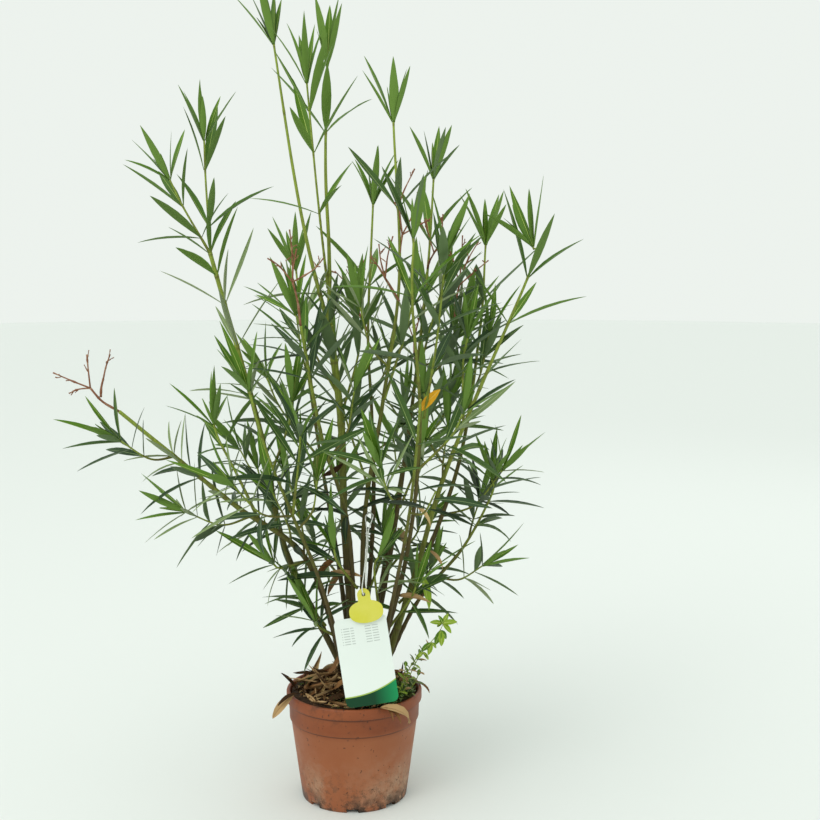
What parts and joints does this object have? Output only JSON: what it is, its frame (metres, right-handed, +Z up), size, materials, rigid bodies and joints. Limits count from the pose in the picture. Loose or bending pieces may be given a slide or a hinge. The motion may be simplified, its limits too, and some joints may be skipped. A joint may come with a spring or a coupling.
{
  "type": "potted oleander",
  "caption": "Oleander shrub in a round nursery pot: slim upright stems fan out from the compost and carry whorls of long narrow leaves, with a blank hanging label.",
  "frame": {"origin": "centre of the pot's flat underside", "axes": "+Z up along the plant's height; -Y towards the front, where the label hangs; +X to the right as seen from the front"},
  "size_m": [0.7165, 0.5461, 1.111],
  "materials": {
    "pot_plastic": "satin moulded terracotta-coloured plastic with a pale limescale bloom and dirt at the foot",
    "compost": "dark crumbly peat compost",
    "litter": "heap of dry curled dead leaves with a patch of moss",
    "bark": "smooth grey-brown to olive young bark with raised leaf scars",
    "green_stem": "smooth yellow-green young stem",
    "dry_twig": "dry reddish-brown flower stalks",
    "fresh_leaf": "leathery bright green leaves with a pale midrib",
    "leaf": "leathery dark green leaves with a pale midrib and grey-green underside",
    "card": "smooth white card with a plain green curved band",
    "tag": "smooth plain yellow plastic tag"
  },
  "bodies": {
    "root": {"pot": "pot_plastic", "compost": "compost", "stem_stool": "bark", "leaf_litter": "litter", "stem_low_left": "bark", "stem_tall_left": "bark", "stem_thin_left": "bark", "stem_centre": "bark", "stem_middle": "bark", "stem_back_middle": "bark", "stem_mid_right": "bark", "stem_slim_right": "bark", "stem_green_right": "green_stem", "stem_back_right": "bark", "stem_far_right": "bark", "stem_rear_left": "bark", "stem_rear_right": "bark", "stem_front": "bark", "stem_front_left": "bark", "stem_top_left": "green_stem", "stem_top_middle": "green_stem", "shoot_low_left": "green_stem", "dry_truss": "dry_twig", "label_card": "card", "hang_tag": "tag", "crown_top_left": "fresh_leaf", "crown_top_middle": "fresh_leaf", "crown_middle": "fresh_leaf", "crown_mid_right": "fresh_leaf", "crown_slim_right": "fresh_leaf", "crown_green_right": "fresh_leaf", "crown_back_right": "fresh_leaf", "crown_far_right": "fresh_leaf", "crown_back_middle": "fresh_leaf", "crown_rear_left": "fresh_leaf", "crown_rear_right": "fresh_leaf", "crown_front": "fresh_leaf", "crown_front_left": "fresh_leaf", "crown_thin_left": "fresh_leaf", "crown_low_shoot": "fresh_leaf", "spray_left_outer": "leaf", "spray_left_upright": "leaf", "spray_left_arm": "leaf", "spray_low_left_tip": "leaf", "spray_low_left_hanging": "leaf", "spray_low_left_under": "leaf", "spray_foot_left": "leaf", "spray_right_arm": "leaf", "spray_right_low": "leaf", "leaves_tall_left_low": "leaf", "leaves_tall_left_high": "leaf", "leaves_centre": "leaf", "leaves_low_left": "leaf", "leaves_middle": "leaf", "leaves_mid_right": "leaf", "leaves_slim_right": "leaf", "leaves_green_right": "leaf", "leaves_back_right": "leaf", "leaves_rear_left": "leaf", "leaves_rear_right": "leaf"}
  },
  "joints": []
}
